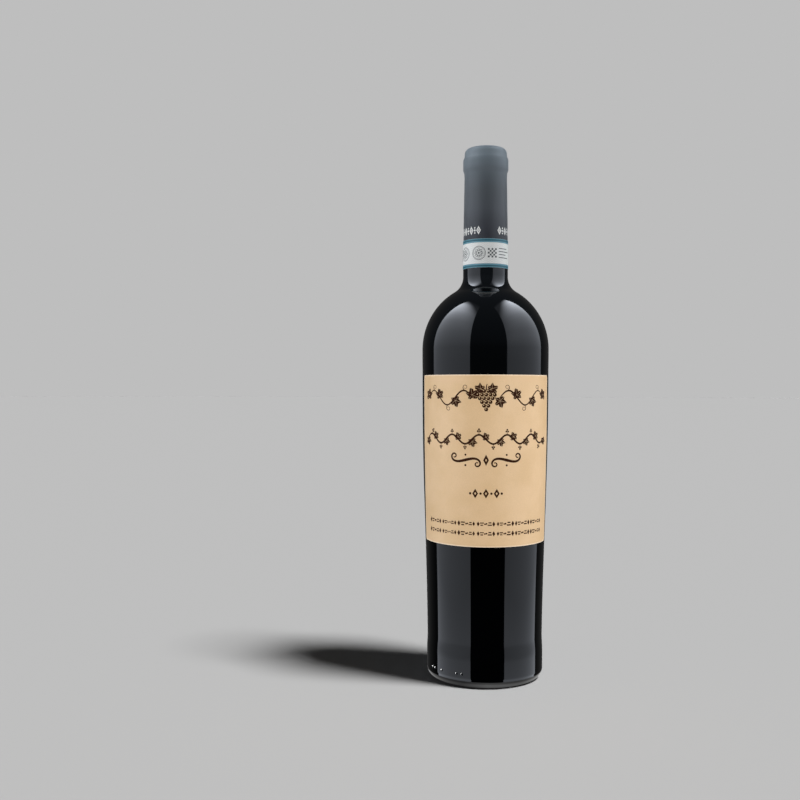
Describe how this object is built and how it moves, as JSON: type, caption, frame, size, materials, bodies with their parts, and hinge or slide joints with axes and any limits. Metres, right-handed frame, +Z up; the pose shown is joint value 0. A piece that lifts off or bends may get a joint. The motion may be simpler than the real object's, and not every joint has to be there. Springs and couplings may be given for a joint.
{
  "type": "wine bottle",
  "caption": "Full 750 ml wine bottle of near-black glass: high shoulders, tapered sides, punt, grey capsule, paper seal band round the neck and cream wrap-round front label.",
  "frame": {"origin": "centre of the foot, on the surface that the bottle stands on", "axes": "+Z up along the bottle's axis, label facing -Y, +X to the right of someone who reads the label"},
  "size_m": [0.079, 0.0791, 0.3298],
  "materials": {
    "dark_glass": "polished, nearly black",
    "capsule_foil": "satin pewter grey lacquer on thin foil",
    "capsule_print": "satin off-white print",
    "seal_paper": "smooth coated paper",
    "seal_print": "matt blue and grey print",
    "label_paper": "uncoated laid paper",
    "label_ink": "matt dark brown print"
  },
  "bodies": {
    "root": {"glass_bottle": "dark_glass", "capsule": "capsule_foil", "neck_seal_band": "seal_paper", "front_label": "label_paper"}
  },
  "joints": []
}
